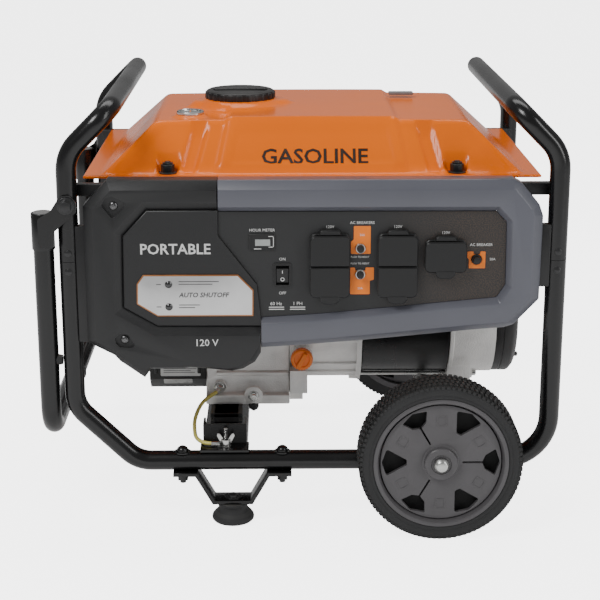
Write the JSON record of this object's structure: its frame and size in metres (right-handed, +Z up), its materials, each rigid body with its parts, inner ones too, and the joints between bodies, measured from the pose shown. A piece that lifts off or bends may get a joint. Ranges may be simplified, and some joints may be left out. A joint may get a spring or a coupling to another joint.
{
  "type": "portable generator",
  "caption": "Open-frame portable generator: tubular steel frame on wheels and feet, fuel tank, engine with alternator, and a control panel with covered outlets.",
  "frame": {"origin": "on the ground, under the centre of the whole machine's box", "axes": "+X to the right as the control panel is faced, -Y out of the panel, +Z up"},
  "size_m": [0.6672, 0.5988, 0.5532],
  "materials": {
    "frame_paint": "satin",
    "tank_paint": "gloss",
    "black_plastic": "matt",
    "grey_plastic": "satin",
    "rim_plastic": "satin",
    "foot_rubber": "matt",
    "tyre_rubber": "matt",
    "cast_alloy": "satin",
    "zinc_plate": "satin",
    "dark_steel": "satin",
    "orange_plastic": "satin",
    "wire_jacket": "gloss"
  },
  "bodies": {
    "machine": {"frame_front": "frame_paint", "frame_rear": "frame_paint", "handle_hoop_left": "frame_paint", "handle_hoop_right": "frame_paint", "cross_tube": "frame_paint", "engine_rail": "frame_paint", "alternator_rail": "frame_paint", "foot_bracket_front": "frame_paint", "foot_front": "foot_rubber", "foot_bracket_rear": "frame_paint", "foot_rear": "foot_rubber", "axle": "zinc_plate", "pivot_bolt_front": "zinc_plate", "pivot_bolt_rear": "zinc_plate", "tank_upper": "tank_paint", "tank_lower": "tank_paint", "tank_rail_front": "frame_paint", "tank_rail_rear": "frame_paint", "fuel_gauge": "zinc_plate", "panel_left": "black_plastic", "panel_bezel": "grey_plastic", "panel_face": "black_plastic", "panel_box": "dark_steel", "crankcase": "cast_alloy", "cylinder": "cast_alloy", "fan_shroud": "black_plastic", "recoil_cover": "black_plastic", "engine_adapter": "cast_alloy", "stator": "dark_steel", "rear_housing": "cast_alloy", "end_bell": "black_plastic", "isolator_engine": "foot_rubber", "isolator_alternator": "foot_rubber", "carburettor": "cast_alloy", "air_cleaner": "black_plastic", "muffler": "dark_steel", "earth_lead": "wire_jacket"},
    "front_wheel": {"rim_front": "rim_plastic", "tyre_front": "tyre_rubber"},
    "rear_wheel": {"rim_rear": "rim_plastic", "tyre_rear": "tyre_rubber"},
    "pull_handle": {"pull_handle": "frame_paint"},
    "fuel_cap": {"fuel_cap": "black_plastic"},
    "fuel_lever": {"fuel_lever": "black_plastic"},
    "oil_cap": {"oil_cap": "orange_plastic"},
    "rocker_switch": {"rocker_switch": "black_plastic"},
    "flap_a_1": {"flap_duplex_a_1": "black_plastic"},
    "flap_a_2": {"flap_duplex_a_2": "black_plastic"},
    "flap_b_1": {"flap_duplex_b_1": "black_plastic"},
    "flap_b_2": {"flap_duplex_b_2": "black_plastic"},
    "flap_c": {"flap_single": "black_plastic"},
    "button_a": {"breaker_button_a": "black_plastic"},
    "button_b": {"breaker_button_b": "black_plastic"},
    "button_c": {"breaker_button_c": "black_plastic"},
    "recoil_grip": {"recoil_grip": "black_plastic"},
    "choke_lever": {"choke_lever": "black_plastic"},
    "wing_nut": {"wing_nut": "zinc_plate"},
    "rotating_group": {"crankshaft": "zinc_plate", "flywheel": "cast_alloy", "rotor": "dark_steel"}
  },
  "joints": [
    {"name": "front_wheel_spin", "type": "hinge", "parent": "machine", "child": "front_wheel", "pos_m": [0.1759, -0.262, 0.104], "axis": [0, 1, 0], "continuous": true},
    {"name": "rear_wheel_spin", "type": "hinge", "parent": "machine", "child": "rear_wheel", "pos_m": [0.1759, 0.262, 0.104], "axis": [0, 1, 0], "continuous": true},
    {"name": "pull_handle_fold", "type": "hinge", "parent": "machine", "child": "pull_handle", "pos_m": [-0.2881, 0, 0.425], "axis": [0, 1, 0], "range_deg": [0, 90]},
    {"name": "fuel_cap_turn", "type": "hinge", "parent": "machine", "child": "fuel_cap", "pos_m": [-0.0781, 0, 0.525], "axis": [0, 0, 1], "range_deg": [0, 90]},
    {"name": "fuel_lever_turn", "type": "hinge", "parent": "machine", "child": "fuel_lever", "pos_m": [-0.2386, -0.09, 0.413], "axis": [1, 0, 0], "range_deg": [0, 90]},
    {"name": "oil_cap_turn", "type": "hinge", "parent": "machine", "child": "oil_cap", "pos_m": [0.0037, -0.11, 0.1843], "axis": [0, -1, 0], "range_deg": [0, 360]},
    {"name": "rocker_switch_tilt", "type": "hinge", "parent": "machine", "child": "rocker_switch", "pos_m": [-0.0225, -0.228, 0.3355], "axis": [-1, 0, 0], "range_deg": [0, 20]},
    {"name": "flap_a_1_lift", "type": "hinge", "parent": "machine", "child": "flap_a_1", "pos_m": [0.0364, -0.244, 0.3875], "axis": [-1, 0, 0], "range_deg": [0, 90], "stiffness_Nm_per_rad": 0.02},
    {"name": "flap_a_2_lift", "type": "hinge", "parent": "machine", "child": "flap_a_2", "pos_m": [0.0364, -0.244, 0.3475], "axis": [-1, 0, 0], "range_deg": [0, 90], "stiffness_Nm_per_rad": 0.02},
    {"name": "flap_b_1_lift", "type": "hinge", "parent": "machine", "child": "flap_b_1", "pos_m": [0.1204, -0.244, 0.3875], "axis": [-1, 0, 0], "range_deg": [0, 90], "stiffness_Nm_per_rad": 0.02},
    {"name": "flap_b_2_lift", "type": "hinge", "parent": "machine", "child": "flap_b_2", "pos_m": [0.1204, -0.244, 0.3475], "axis": [-1, 0, 0], "range_deg": [0, 90], "stiffness_Nm_per_rad": 0.02},
    {"name": "flap_c_lift", "type": "hinge", "parent": "machine", "child": "flap_c", "pos_m": [0.1799, -0.244, 0.3795], "axis": [-1, 0, 0], "range_deg": [0, 90], "stiffness_Nm_per_rad": 0.02},
    {"name": "button_a_press", "type": "slide", "parent": "machine", "child": "button_a", "axis": [0, 1, 0], "range_m": [0, 0.003], "stiffness_N_per_m": 300},
    {"name": "button_b_press", "type": "slide", "parent": "machine", "child": "button_b", "axis": [0, 1, 0], "range_m": [0, 0.003], "stiffness_N_per_m": 300},
    {"name": "button_c_press", "type": "slide", "parent": "machine", "child": "button_c", "axis": [0, 1, 0], "range_m": [0, 0.003], "stiffness_N_per_m": 300},
    {"name": "recoil_pull", "type": "slide", "parent": "machine", "child": "recoil_grip", "axis": [0, 1, 0], "range_m": [0, 0.35], "stiffness_N_per_m": 20},
    {"name": "choke_lever_turn", "type": "hinge", "parent": "machine", "child": "choke_lever", "pos_m": [-0.1446, 0.151, 0.3], "axis": [0, 1, 0], "range_deg": [0, 60]},
    {"name": "wing_nut_turn", "type": "hinge", "parent": "machine", "child": "wing_nut", "pos_m": [-0.0966, -0.212, 0.104], "axis": [0, 0, 1], "range_deg": [0, 360]},
    {"name": "crankshaft_spin", "type": "hinge", "parent": "machine", "child": "rotating_group", "pos_m": [0.0164, 0, 0.225], "axis": [1, 0, 0], "continuous": true}
  ]
}
